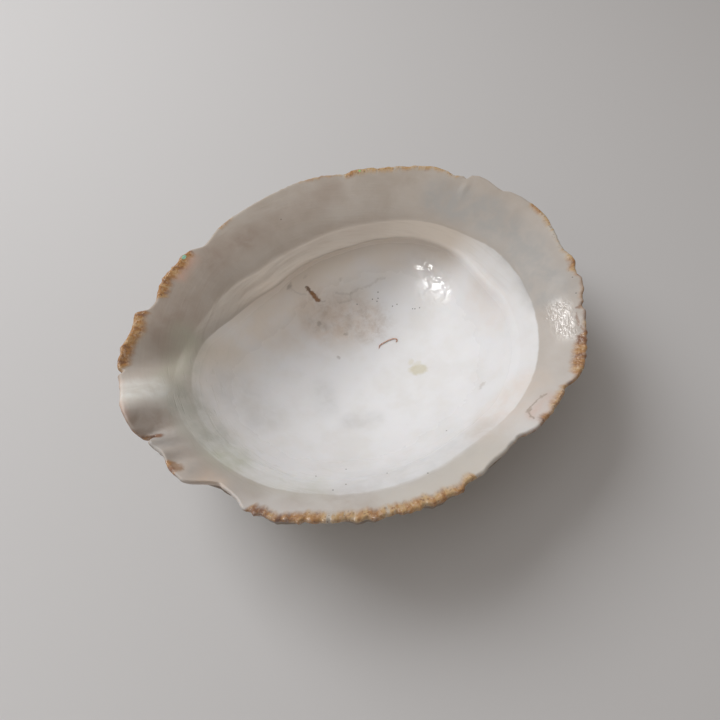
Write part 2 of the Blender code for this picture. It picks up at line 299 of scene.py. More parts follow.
# Where the far upper wall takes a warm tan, partly its own tone and partly painted shade
TAN_AND_SHADE = [(0, 0.1), (25, 0.4), (50, 1), (150, 1), (170, 0.4), (200, 0), (330, 0)]
crust = around(CRUST_WIDTH, turns)[:, None] - from_edge
crusted = np.clip(crust / 2 + 0.5, 0, 1)
lumps = hills(3, around_shell, along, 1.1, 2.4) + 0.5 * hills(4, around_shell, along, 0.6, 1.2)
height = height + 0.24 * lumps * crusted * around(RAGGED, turns)[:, None] / 0.8
flutes = hills(5, around_shell, 0 * along, 3.0, 1) * np.clip(1 - from_edge / 14, 0, 1)
height = height + flutes * around(FLUTES, turns)[:, None]
facets = hills(6, around_shell, along, 2.2, 4.5) + 0.5 * hills(7, around_shell, along, 1.2, 2.2)
glassy = around(GLASSY, turns)[:, None] * np.clip(past_line / 3, 0, 1) * np.clip(from_edge / 4, 0, 1)
height = height + 0.14 * facets * glassy
lines = np.sin(2.4 * past_crest + 1.5 * hills(8, around_shell, 0 * along, 24, 1))
on_ledge = np.clip(past_crest / 2, 0, 1) * np.clip(-past_line / 2, 0, 1) * far_left
height = height - 0.14 * lines * on_ledge


def skin(name, reach, height, start, end):
    """One surface from rings, closed at a point where start or end is given."""
    a = np.radians(turns)[:, None]
    rings = np.stack([reach * np.cos(a), reach * np.sin(a), height], axis=2)
    points = rings.transpose(1, 0, 2).reshape(-1, 3)
    here = np.arange(RUNS)
    near, side = np.meshgrid(np.arange(reach.shape[1] - 1) * RUNS, here, indexing="ij")
    other = np.roll(here, -1)[side]
    quads = np.stack([near + side, near + RUNS + side, near + RUNS + other, near + other], axis=2)
    faces = quads.reshape(-1, 4).tolist()
    last = (reach.shape[1] - 1) * RUNS
    if start is not None:
        points = np.vstack([points, start])
        faces += [(len(points) - 1, k, (k + 1) % RUNS) for k in range(RUNS)]
    if end is not None:
        points = np.vstack([points, end])
        faces += [(last + k, len(points) - 1, last + (k + 1) % RUNS) for k in range(RUNS)]
    mesh = bpy.data.meshes.new(name)
    mesh.from_pydata(((points + POLE) * MM).tolist(), [], faces)
    mesh.shade_smooth()
    piece = bpy.data.objects.new(name, mesh)
    bpy.context.scene.collection.objects.link(piece)
    return piece


def measure(piece, name, values, at_point):
    """Keeps a length or share at every point of a surface, for its material."""
    values = np.append(np.broadcast_to(values, (RUNS, values.shape[1])).T.ravel(), at_point)
    kept = piece.data.attributes.new(name, "FLOAT", "POINT")
    kept.data.foreach_set("value", values.astype(np.float32))


def patch(centres, radius, soft):
    """1 near any of the centres, fading to 0."""
    a = np.radians(around_shell)
    x, y = reach * np.cos(a) + POLE[0], reach * np.sin(a) + POLE[1]
    gaps = [np.sqrt((x - cx) ** 2 + (y - cy) ** 2 + (height - cz) ** 2) for cx, cy, cz in centres]
    t = np.clip((radius + soft - np.min(gaps, axis=0)) / soft, 0, 1)
    return t * t * (3 - 2 * t)


# Broad washes of colour: strength, half width, softness, and the points they run through
WASHES = {
    # Smoky-brown washes. The one at (-145, 2) is painted shade on the lower side of the first lobe, and the one
    # through (-99, 50) is painted shade over the lit fold of the left end.
    "smoke_and_shade": [
        (0.7, 2, 10, [(-62, 92), (-57, 94), (-31, 100)]), (0.5, 3, 10, [(-31, 97), (-9, 103), (43, 106)]),
        (0.7, 3, 8, [(-145, 2), (-133, 2)]), (0.45, 6, 16, [(-108, 66), (-88, 84), (-62, 94)]),
        (0.6, 5, 12, [(-110, 56), (-94, 68)]), (0.42, 3, 12, [(-137, -12), (-130, -36)]),
        (0.2, 3, 12, [(-130, -36), (-112, -60)]), (0.3, 4, 12, [(-92, -80), (-66, -97)]),
        (0.25, 3, 10, [(-99, 50), (-110, 37), (-119, 22)]), (0.25, 3, 8, [(-10, 84), (30, 80), (60, 70)]),
    ],
    "peached": [
        (0.5, 3, 12, [(-137, -26), (-128, -48)]), (0.3, 3, 14, [(20, -98), (45, -92), (62, -88)]),
        (0.2, 1, 13, [(92, -8), (88, -34)]), (0.15, 8, 26, [(-34, 54), (-6, 44)]), (0.3, 8, 18, [(-4, 50), (20, 36)]),
    ],
    # Greenish washes over the left end; the first, through (-99, 50), is painted shade over the lit fold there.
    "moss_and_shade": [
        (0.45, 3, 11, [(-99, 50), (-110, 37)]), (0.5, 3, 13, [(-120, 26), (-118, -9), (-112, -34)]), (0.2, 3, 12, [(-115, -30), (-104, -55), (-80, -76)]),
    ],
    "pinked": [
        (0.5, 1, 7, [(-84, 88), (-72, 97)]), (0.45, 1.5, 5, [(-147, 34), (-150, 19), (-150.5, 10)]),
        (0.3, 2, 6, [(46, -109), (60, -106)]),
    ],
    "greyed": [
        (0.2, 4, 15, [(-60, -84), (-20, -97), (20, -98)]), (0.2, 1, 12, [(-33, 2), (-38, -14)]),
        (0.2, 1, 10, [(-32, -31), (-16, -38)]), (0.2, 6, 16, [(-88, 18), (-84, -4)]),
        (0.6, 6, 14, [(106, 60), (124, 28), (126, -14), (116, -46)]), (0.55, 3, 12, [(-142, -12), (-134, -34)]),
        (0.35, 4, 14, [(-120, 12), (-116, -14)]),
    ],
    # Painted light: a white wash on the lit upper side of the first lobe.
    "painted_light_lobe": [(0.65, 4, 9, [(-143, 25), (-131, 23)])],
    "hazed": [(1.0, 5, 18, [(-4, 50), (13, 42), (26, 30)])],
}


def washed(marks):
    """The share of a wash at every point, from the distance to its line."""
    a = np.radians(around_shell)
    x, y = reach * np.cos(a) + POLE[0], reach * np.sin(a) + POLE[1]
    bare = np.ones_like(reach)
    for strength, width, soft, points in marks:
        gap = np.full_like(reach, 1000.0)
        for (ax, ay), (bx, by) in zip(points, points[1:]):
            run = ((x - ax) * (bx - ax) + (y - ay) * (by - ay)) / ((bx - ax) ** 2 + (by - ay) ** 2)
            run = np.clip(run, 0, 1)
            gap = np.minimum(gap, np.hypot(x - ax - run * (bx - ax), y - ay - run * (by - ay)))
        t = np.clip((width + soft - gap) / soft, 0, 1)
        bare = bare * (1 - strength * t * t * (3 - 2 * t))
    return 1 - bare


hollow = skin("valve_hollow", reach, height, (0, 0, 10), None)
for wash, marks in WASHES.items():
    measure(hollow, wash, washed(marks), 0.0)
measure(hollow, "enamel", patch([(83, 36, 48), (80, 28, 42), (76, 18, 32)], 8, 8), 0.0)
measure(hollow, "crumbled", patch([(107, -62, 78), (103, -74, 80)], 4, 13), 0.0)
measure(hollow, "past_crest", past_crest, -100.0)
measure(hollow, "past_line", past_line, -120.0)
measure(hollow, "from_edge", from_edge, 150.0)
measure(hollow, "crust", crust, -150.0)
whole = np.ones_like(reach)
measure(hollow, "crust_tone", around(CRUST_TONE, turns)[:, None] * whole, 0.5)
measure(hollow, "lip_grey", around(LIP_GREY, turns)[:, None] * whole, 0.0)
measure(hollow, "ledge_grey", around(LEDGE_GREY, turns)[:, None] * whole, 0.0)
measure(hollow, "tan_and_shade", around(TAN_AND_SHADE, turns)[:, None] * whole, 0.2)
measure(hollow, "painted_shade_under_crest", around(PAINTED_SHADE_UNDER_CREST, turns)[:, None] * whole, 0.0)
measure(hollow, "wrinkled", around(WRINKLED, turns)[:, None] * whole, 0.0)
growth = np.stack(
    [130 * np.cos(np.radians(around_shell)) * whole, 130 * np.sin(np.radians(around_shell)) * whole, along],
    axis=2,
)
growth = np.vstack([growth.transpose(1, 0, 2).reshape(-1, 3), [[0, 0, 0]]])
grown = hollow.data.attributes.new("grown", "FLOAT_VECTOR", "POINT")
grown.data.foreach_set("vector", growth.astype(np.float32).ravel())


def node(tree, kind, inputs, **settings):
    """A node with its settings, its inputs given as values or as other nodes' outputs."""
    made = tree.nodes.new("ShaderNode" + kind)
    for name, value in settings.items():
        setattr(made, name, value)
    for name, value in inputs.items():
        if isinstance(value, bpy.types.NodeSocket):
            tree.links.new(value, made.inputs[name])
        else:
            made.inputs[name].default_value = value
    return made


def sum_of(tree, operation, a, b=0.0, c=0.0):
    return node(tree, "Math", {0: a, 1: b, 2: c}, operation=operation).outputs[0]


def between(tree, value, low, high, start=0.0, end=1.0):
    """A smooth step from start to end as the value goes from low to high."""
    inputs = {"Value": value, "From Min": low, "From Max": high, "To Min": start, "To Max": end}
    return node(tree, "MapRange", inputs, interpolation_type="SMOOTHSTEP").outputs[0]


def cloud(tree, place, size, detail=3.0, roughness=0.5, distortion=0.0):
    """Soft random patches of a size in millimetres."""
    inputs = {"Vector": place, "Scale": 1 / size, "Detail": detail, "Roughness": roughness, "Distortion": distortion}
    return node(tree, "TexNoise", inputs).outputs[0]


def tint(tree, share, below, above):
    """One colour laid over another."""
    inputs = {0: share, 6: below, 7: above}
    return node(tree, "Mix", inputs, data_type="RGBA").outputs[2]


def kept_value(tree, name):
    return node(tree, "Attribute", {}, attribute_name=name).outputs["Fac"]


def stretch(tree, place, amounts):
    return node(tree, "VectorMath", {0: place, 1: amounts}, operation="MULTIPLY").outputs[0]


def mark_group():
    """A stain along a line on the shell: 1 within its width, fading to 0 over its softness."""
    tree = bpy.data.node_groups.new("stain_line", "ShaderNodeTree")
    for name, kind in (("Place", "Vector"), ("Start", "Vector"), ("End", "Vector"), ("Width", "Float"), ("Soft", "Float")):
        tree.interface.new_socket(name, in_out="INPUT", socket_type="NodeSocket" + kind)
    tree.interface.new_socket("Share", in_out="OUTPUT", socket_type="NodeSocketFloat")
    given = tree.nodes.new("NodeGroupInput").outputs
    result = tree.nodes.new("NodeGroupOutput")
    line = node(tree, "VectorMath", {0: given["End"], 1: given["Start"]}, operation="SUBTRACT").outputs[0]
    away = node(tree, "VectorMath", {0: given["Place"], 1: given["Start"]}, operation="SUBTRACT").outputs[0]
    dot = node(tree, "VectorMath", {0: line, 1: away}, operation="DOT_PRODUCT").outputs["Value"]
    length = node(tree, "VectorMath", {0: line, 1: line}, operation="DOT_PRODUCT").outputs["Value"]
    run = node(tree, "Math", {0: dot, 1: sum_of(tree, "MAXIMUM", length, 0.0001)}, operation="DIVIDE", use_clamp=True)
    reached = node(tree, "VectorMath", {0: line, "Scale": run.outputs[0]}, operation="SCALE").outputs[0]
    gap = node(tree, "VectorMath", {0: away, 1: reached}, operation="DISTANCE").outputs["Value"]
    outer = sum_of(tree, "ADD", given["Width"], given["Soft"])
    tree.links.new(between(tree, gap, given["Width"], outer, 1.0, 0.0), result.inputs["Share"])
    return tree


stain_line = mark_group()


def stain(tree, place, points, width, soft):
    """The share of a stain that runs through points, or sits on a single one."""
    ends = list(zip(points, points[1:])) or [(points[0], points[0])]
    share = None
    for start, end in ends:
        made = tree.nodes.new("ShaderNodeGroup")
        made.node_tree = stain_line
        tree.links.new(place, made.inputs["Place"])
        made.inputs["Start"].default_value = (*start, 0)[:3]
        made.inputs["End"].default_value = (*end, 0)[:3]
        made.inputs["Width"].default_value = width
        made.inputs["Soft"].default_value = soft
        here = made.outputs["Share"]
        share = here if share is None else sum_of(tree, "MAXIMUM", share, here)
    return share


# Colours of the hollow side, and where the stains of age and water lie on it
PORCELAIN, PORCELAIN_SHADE = (0.85, 0.86, 0.885, 1), (0.80, 0.80, 0.805, 1)
LEDGE_CREAM, LIP_LIGHT, LIP_DARK = (0.48, 0.43, 0.38, 1), (0.53, 0.485, 0.44, 1), (0.42, 0.36, 0.305, 1)
BEIGE, TAN, WARM_SMOKE = (0.56, 0.52, 0.46, 1), (0.86, 0.765, 0.65, 1), (0.40, 0.33, 0.28, 1)
COOL_GREY, PAINTED_LIGHT_WHITE, SHADE_TAN = (0.40, 0.40, 0.395, 1), (0.82, 0.83, 0.81, 1), (0.58, 0.50, 0.42, 1)
OCHRE, DEEP_OCHRE, BROWN = (0.57, 0.38, 0.18, 1), (0.43, 0.21, 0.06, 1), (0.22, 0.09, 0.035, 1)
SMOKE, RUST, PINK, PEACH = (0.30, 0.26, 0.22, 1), (0.27, 0.12, 0.03, 1), (0.66, 0.42, 0.33, 1), (0.74, 0.60, 0.49, 1)
OLIVE, MOSS, PIT = (0.62, 0.58, 0.42, 1), (0.52, 0.54, 0.44, 1), (0.06, 0.045, 0.035, 1)
STAINS = [
    (SMOKE, 0.6, 1.2, 2.4, [(-19.2, 66.8, 53.6)]),
    (SMOKE, 0.2, 0.2, 1.2, [(-18.8, 66, 50.7), (-15.2, 65.1, 43.8), (-8.7, 63.9, 39.2)]),
    (SMOKE, 0.2, 0.6, 2.0, [(-5.2, 69.2, 51.6)]),
    (RUST, 0.9, 0.5, 1.5, [(-6.0, 66.5, 42.2), (-3.7, 63.4, 36.8)]),
    (RUST, 0.9, 1.1, 1.5, [(-3.9, 63.7, 37.3), (-1.5, 59.7, 31.8)]),
    (PIT, 0.6, 0.3, 1.1, [(-6.2, 66.8, 42.8), (-4.4, 64.6, 38.8)]),
    (SMOKE, 0.25, 0.2, 1.2, [(-1.9, 59, 31.6), (3, 57.2, 29.4)]),
    (SMOKE, 0.2, 0.4, 1.8, [(21.1, 63.8, 37)]),
    (SMOKE, 0.2, 0.1, 1.6, [(14.3, 58.4, 30.4), (23.3, 54.2, 27.3), (28.7, 54.2, 28.4), (40.6, 51.3, 29.3), (47.1, 51.5, 32), (52, 49.2, 32.3)]),
    (SMOKE, 0.2, 0.1, 1.6, [(24.3, 54.3, 27.7), (20.8, 50.3, 24.7), (12.4, 52.7, 25.6)]),
    (SMOKE, 0.4, 0.7, 1.6, [(-9.4, 46.2)]),
    (SMOKE, 0.4, 0.7, 1.6, [(5.5, 32.2)]),
    (SMOKE, 0.4, 0.6, 1.6, [(-9.1, 19)]),
    (OLIVE, 0.65, 2.4, 3.4, [(31.8, -22.4), (34.6, -24.6)]),
    (OLIVE, 0.3, 0.8, 2.0, [(28.6, -19.5), (35.8, -18.5)]),
    (OLIVE, 0.35, 1.0, 2.6, [(32.5, -14.5)]),
    (SMOKE, 0.25, 0.3, 1.4, [(48.3, -67.7), (51.9, -65.4)]),
    (BROWN, 0.5, 0.1, 0.9, [(112.6, -70.8), (108.1, -78), (107, -84.1)]),
    (WARM_SMOKE, 0.8, 0.1, 0.9, [(60.6, -102), (55.5, -101.5), (48.9, -103.1), (45, -104.6), (42.4, -110.3)]),
    (BROWN, 0.6, 0.8, 1.2, [(116.5, -68.6)]),
    (BROWN, 0.85, 0.7, 2.4, [(-149.5, -4.4), (-144.9, -6.2), (-138.5, -7.5)]),
    (RUST, 0.65, 0.9, 2.6, [(-139.5, -28.2), (-136.5, -33)]),
]
PINHOLES = [
    (42.9, 45), (40.7, 41.6), (36.7, 43.3), (38.9, 40.3), (24.5, 46.2), (50.4, 29.9),
    (46.9, 30.8), (62.1, 16.9), (59.1, 18.6), (57.8, 19.8), (129.5, -49.3),
    (123, -59.7), (-75.1, -64.4), (-56.6, -67.4), (-72.7, -80.3), (-23.6, -101.3),
    (-64.3, -80.2), (-2.5, 103), (-40, -86), (10, -80),
]


def shell_hollow():
    """Polished aragonite: white where it is thick, grey where the lip lets light through."""
    material = bpy.data.materials.new("shell_hollow")
    material.use_nodes = True
    tree = material.node_tree
    surface = tree.nodes["Principled BSDF"]
    object_place = node(tree, "TexCoord", {}).outputs["Object"]
    place = node(tree, "VectorMath", {0: object_place, "Scale": 1000.0}, operation="SCALE").outputs[0]
    grown_place = node(tree, "Attribute", {}, attribute_name="grown").outputs["Vector"]
    ridges = stretch(tree, grown_place, (0.06, 0.06, 1.0))
    rays = stretch(tree, grown_place, (0.8, 0.8, 0.2))

    colour = tint(tree, between(tree, cloud(tree, place, 32, 4.0, 0.6), 0.42, 0.7), PORCELAIN, PORCELAIN_SHADE)
    # A warm tan on the far upper wall: partly the wall's own tone, partly painted shade where that wall lies in
    # shadow.
    tan_and_shade = between(tree, kept_value(tree, "past_crest"), -66.0, -12.0)
    tan_and_shade = sum_of(tree, "MULTIPLY", tan_and_shade, kept_value(tree, "tan_and_shade"))
    washes = between(tree, cloud(tree, place, 30, 3.0), 0.3, 0.6, 0.35, 0.7)
    colour = tint(tree, sum_of(tree, "MULTIPLY", tan_and_shade, washes), colour, TAN)
    # Painted shade: the wall just under the crest is darkened with a deep tan.
    painted_shade_under_crest = between(tree, kept_value(tree, "past_crest"), -34.0, -4.0)
    painted_shade_under_crest = sum_of(tree, "MULTIPLY", painted_shade_under_crest, kept_value(tree, "painted_shade_under_crest"))
    colour = tint(tree, sum_of(tree, "MULTIPLY", painted_shade_under_crest, 0.85), colour, SHADE_TAN)
    ledge = between(tree, kept_value(tree, "past_crest"), -0.6, 0.8)
    ledge = sum_of(tree, "MULTIPLY", ledge, kept_value(tree, "ledge_grey"))
    colour = tint(tree, sum_of(tree, "MULTIPLY", ledge, 0.85), colour, LEDGE_CREAM)
    lines = between(tree, cloud(tree, ridges, 1.8, 2.0), 0.5, 0.72)
    colour = tint(tree, sum_of(tree, "MULTIPLY", sum_of(tree, "MULTIPLY", lines, ledge), 0.4), colour, LIP_DARK)
    low_wall = between(tree, kept_value(tree, "past_crest"), -34.0, -16.0)
    wrinkled = sum_of(tree, "MULTIPLY", low_wall, kept_value(tree, "wrinkled"))
    wrinkled = sum_of(tree, "MULTIPLY", wrinkled, between(tree, kept_value(tree, "past_line"), 2.0, 14.0, 1.0, 0.0))
    short_ridges = stretch(tree, grown_place, (0.16, 0.16, 1.0))
    creases = between(tree, cloud(tree, short_ridges, 2.8, 3.0, 0.6, 0.7), 0.5, 0.75)
    colour = tint(tree, sum_of(tree, "MULTIPLY", sum_of(tree, "MULTIPLY", creases, wrinkled), 0.25), colour, MOSS)

    lip_noise = sum_of(tree, "MULTIPLY_ADD", cloud(tree, place, 7.0), 1.6, -0.8)
    on_lip = sum_of(tree, "ADD", kept_value(tree, "past_line"), lip_noise)
    on_lip = sum_of(tree, "MULTIPLY", between(tree, on_lip, -0.6, 1.0), kept_value(tree, "lip_grey"))
    mottle = between(tree, cloud(tree, place, 20, 5.0, 0.55, 0.3), 0.3, 0.75, 0.2, 0.8)
    lip = tint(tree, mottle, LIP_LIGHT, LIP_DARK)
    # Painted shade: the lip is darkened towards the crease, where it slopes away from the light.
    crease = between(tree, kept_value(tree, "past_line"), 1.0, 9.0, 0.35, 0.0)
    lip = tint(tree, crease, lip, LIP_DARK)
    colour = tint(tree, on_lip, colour, lip)
    beige = between(tree, sum_of(tree, "MULTIPLY_ADD", lip_noise, 1.5, kept_value(tree, "past_line")), -1.5, 3.5)
    beige = sum_of(tree, "MULTIPLY", beige, between(tree, kept_value(tree, "lip_grey"), 0.1, 0.45, 0.75, 0.0))
    colour = tint(tree, beige, colour, BEIGE)

    warp = node(tree, "TexNoise", {"Vector": place, "Scale": 0.35, "Detail": 3.0}).outputs["Color"]
    warp = node(tree, "VectorMath", {0: warp, 1: (0.5, 0.5, 0.5)}, operation="SUBTRACT").outputs[0]
    warped = node(tree, "VectorMath", {0: warp, 1: (4.0, 4.0, 4.0), 2: place}, operation="MULTIPLY_ADD").outputs[0]
    flat_place = stretch(tree, warped, (1.0, 1.0, 0.0))
    true_place = stretch(tree, place, (1.0, 1.0, 0.0))
    patches = between(tree, cloud(tree, place, 8, 6.0, 0.7, 0.3), 0.36, 0.74, 0.1, 1.0)
    haze = sum_of(tree, "MULTIPLY", sum_of(tree, "MULTIPLY", kept_value(tree, "hazed"), patches), 0.6)
    colour = tint(tree, haze, colour, WARM_SMOKE)
    uneven = between(tree, cloud(tree, place, 11, 4.0, 0.6, 0.4), 0.3, 0.7, 0.55, 1.3)
    # These washes include painted light on the first lobe's lit side and painted shade on its lower side and over the
    # left fold.
    shades = {"smoke_and_shade": WARM_SMOKE, "peached": PEACH, "moss_and_shade": MOSS, "pinked": PINK, "greyed": COOL_GREY, "painted_light_lobe": PAINTED_LIGHT_WHITE}
    for wash, shade in shades.items():
        share = sum_of(tree, "MULTIPLY", kept_value(tree, wash), uneven)
        colour = tint(tree, share, colour, shade)
    for shade, strength, width, soft, points in STAINS:
        on = flat_place if len(points[0]) == 2 else warped
        share = sum_of(tree, "MULTIPLY", stain(tree, on, points, width, soft), strength)
        colour = tint(tree, share, colour, shade)
    holes = None
    for point in PINHOLES:
        hole = stain(tree, true_place, [point], 0.15, 0.5)
        holes = hole if holes is None else sum_of(tree, "MAXIMUM", holes, hole)
    colour = tint(tree, sum_of(tree, "MULTIPLY", holes, 0.8), colour, PIT)

    grain = cloud(tree, rays, 3.0, 4.0, 0.6)
    border = sum_of(tree, "MULTIPLY_ADD", grain, 5.0, -2.5)
    crusted = between(tree, sum_of(tree, "ADD", kept_value(tree, "crust"), border), -3.2, 2.4)
    tone = sum_of(tree, "MULTIPLY_ADD", cloud(tree, rays, 5.0, 5.0, 0.65), 3.6, -1.8)
    tone = sum_of(tree, "ADD", kept_value(tree, "crust_tone"), tone)
    crust_colour = tint(tree, between(tree, tone, -0.45, 0.1), BEIGE, OCHRE)
    crust_colour = tint(tree, between(tree, tone, 0.1, 0.6), crust_colour, DEEP_OCHRE)
    crust_colour = tint(tree, between(tree, tone, 0.6, 1.1), crust_colour, BROWN)
    flecks = between(tree, cloud(tree, place, 2.2, 4.0, 0.65), 0.5, 0.66)
    crust_colour = tint(tree, sum_of(tree, "MULTIPLY", flecks, 0.4), crust_colour, PEACH)
    pits = between(tree, cloud(tree, place, 1.8, 2.0), 0.34, 0.42, 1.0, 0.0)
    crust_colour = tint(tree, sum_of(tree, "MULTIPLY", pits, 0.7), crust_colour, BROWN)
    colour = tint(tree, sum_of(tree, "MULTIPLY", crusted, 0.9), colour, crust_colour)
    AQUA, GREEN = (0.30, 0.58, 0.44, 1), (0.30, 0.70, 0.25, 1)
    colour = tint(tree, stain(tree, true_place, [(-76, 98.6), (-75, 99.4)], 0.9, 0.5), colour, AQUA)
    colour = tint(tree, stain(tree, true_place, [(68, 109.6)], 0.6, 0.5), colour, GREEN)

    tree.links.new(colour, surface.inputs["Base Color"])
    polish = between(tree, kept_value(tree, "past_crest"), -52.0, -22.0, 0.5, 0.13)
    gloss = sum_of(tree, "MULTIPLY_ADD", between(tree, cloud(tree, place, 12, 3.0), 0.35, 0.65), 0.08, polish)
    duller = between(tree, kept_value(tree, "past_crest"), -9.0, -3.0, 0.0, 0.36)
    gloss = sum_of(tree, "ADD", gloss, duller)
    enamel, crumbs = kept_value(tree, "enamel"), kept_value(tree, "crumbled")
    gloss = sum_of(tree, "MULTIPLY_ADD", enamel, -0.08, gloss)
    gloss = sum_of(tree, "MULTIPLY_ADD", crumbs, -0.40, gloss)
    gloss = sum_of(tree, "MULTIPLY_ADD", crusted, -0.30, gloss)
    tree.links.new(gloss, surface.inputs["Roughness"])
    surface.inputs["Subsurface Weight"].default_value = 0.2
    surface.inputs["Subsurface Radius"].default_value = (1.0, 0.8, 0.65)
    surface.inputs["Subsurface Scale"].default_value = 0.003
    surface.inputs["IOR"].default_value = 1.53

    dents = sum_of(tree, "MULTIPLY_ADD", enamel, 1.1, 0.22)
    hammered = sum_of(tree, "MULTIPLY", cloud(tree, place, 6.5, 2.0, 0.4, 0.3), dents)
    rippled = sum_of(tree, "MULTIPLY", cloud(tree, ridges, 1.6, 2.0), sum_of(tree, "MULTIPLY", ledge, 0.2))
    rippled = sum_of(tree, "MULTIPLY_ADD", creases, sum_of(tree, "MULTIPLY", wrinkled, -0.2), rippled)
    coarse = sum_of(tree, "MULTIPLY", cloud(tree, place, 1.1, 3.0), sum_of(tree, "MULTIPLY", crusted, 0.7))
    crumbled = cloud(tree, stretch(tree, grown_place, (0.45, 0.45, 1.0)), 2.6, 4.0, 0.6, 0.4)
    coarse = sum_of(tree, "MULTIPLY_ADD", crumbled, sum_of(tree, "MULTIPLY", crumbs, 0.85), coarse)
    relief = sum_of(tree, "ADD", sum_of(tree, "ADD", hammered, rippled), coarse)
    bump = node(tree, "Bump", {"Height": relief, "Distance": 0.001, "Strength": 0.6})
    tree.links.new(bump.outputs[0], surface.inputs["Normal"])
    return material


hollow.data.materials.append(shell_hollow())
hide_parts("valve")
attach(hollow, "root")

# The outside of the valve: low ribs that end in the margin's lobes, crossed by a ledge
# wherever growth paused. It is the same aragonite, worn chalky and stained by the reef,
# and a small flat is worn where the belly rests.

UMBO = np.array([10.0, 16.0])
FLAT_SHARE = 0.22
LEDGES = (0.50, 0.64, 0.76, 0.86, 0.94)


def outer_profile(share):
    """Height at a share of the way from umbo to margin: a Bezier, cut flat below."""
    t = np.linspace(0, 1, 800)
    out = 3 * (1 - t) ** 2 * t * 0.50 + 3 * (1 - t) * t * t * 0.80 + t**3
    up = 3 * (1 - t) * t * t * 0.58 + t**3
    cut = np.interp(FLAT_SHARE, out, up)
    return np.maximum(np.interp(share, out, up) - cut, 0) / (1 - cut)


grown_reach = unchipped - 0.2 * thickness
grown_height = margin_height(around_shell) - thickness
crown = rib_relief(around_shell) - 0.5
shares = [1.0]
for ledge in reversed(LEDGES):
    shares += list(np.linspace(shares[-1], ledge + 0.012, 5)[1:])
    shares += [ledge + 0.004, ledge - 0.004, ledge - 0.012]
shares += list(np.linspace(shares[-1], FLAT_SHARE, 14)[1:])
starts = np.array([FLAT_SHARE, *LEDGES, 1.012])
out_reach, out_height, out_stage = [], [], []
a = np.radians(turns)
for level, share in enumerate(shares):
    chips = np.clip((share - 0.90) / 0.10, 0, 1)
    from_pole = grown_reach[:, 0] + chips * (edge_reach[:, -1] - grown_reach[:, 0])
    lift = grown_height[:, 0] + chips * (edge_height[:, -1] - grown_height[:, 0])
    away = np.column_stack([from_pole * np.cos(a), from_pole * np.sin(a)]) - UMBO
    length = np.hypot(*away.T)
    slope = lift * (outer_profile(share + 0.01) - outer_profile(share - 0.01)) / (0.02 * length)
    fade = np.clip((share - 0.28) / 0.62, 0, 1)
    stage = np.clip(np.searchsorted(starts, share, side="right") - 1, 0, len(starts) - 2)
    swell = ((share - starts[stage]) / (starts[stage + 1] - starts[stage])) ** 2
    relief = 4.5 * fade * crown[:, 0] + 1.8 * min(1, 2 * fade) * swell
    worn = 0.8 * hills(11, turns, 0 * turns + 40 * share, 7, 3) + 0.35 * hills(12, turns, 0 * turns + 90 * share, 2, 2)
    settled = min(1, 4 * (1 - share)) * min(1, max(0, 5 * (share - FLAT_SHARE)))
    relief = relief + (0.4 + swell * 0.8) * settled * worn
    across = relief / np.sqrt(1 + slope * slope)
    if share == 1.0:
        plan, rise = away + UMBO, lift
    elif level == len(shares) - 1:
        plan, rise = UMBO + (np.column_stack([grown_reach[:, 0] * np.cos(a), grown_reach[:, 0] * np.sin(a)]) - UMBO) * share, 0 * lift
    else:
        plan = UMBO + away * (share + slope * across / length)[:, None]
        rise = np.maximum(lift * outer_profile(share) - across, 0.05)
    out_reach.append(plan)
    out_height.append(rise)
    out_stage.append(0 * lift + share)
plan = np.stack(out_reach, axis=1)
rise = np.stack(out_height, axis=1)
turned = np.arctan2(plan[:, :, 1], plan[:, :, 0])
outside = skin("valve_outside", np.hypot(plan[:, :, 0], plan[:, :, 1]), rise, None, (*UMBO, 0))
points = np.concatenate([plan, rise[:, :, None]], axis=2).transpose(1, 0, 2).reshape(-1, 3)
points = (np.vstack([points, [[*UMBO, 0]]]) + POLE) * MM
outside.data.vertices.foreach_set("co", points.astype(np.float32).ravel())
measure(outside, "stage", np.stack(out_stage, axis=1), 0.0)
measure(outside, "crown", crown * np.ones_like(rise), 0.0)

CHALK, CREAM, REEF_BROWN, ALGAE = (0.62, 0.57, 0.49, 1), (0.50, 0.43, 0.33, 1), (0.17, 0.10, 0.06, 1), (0.22, 0.23, 0.15, 1)


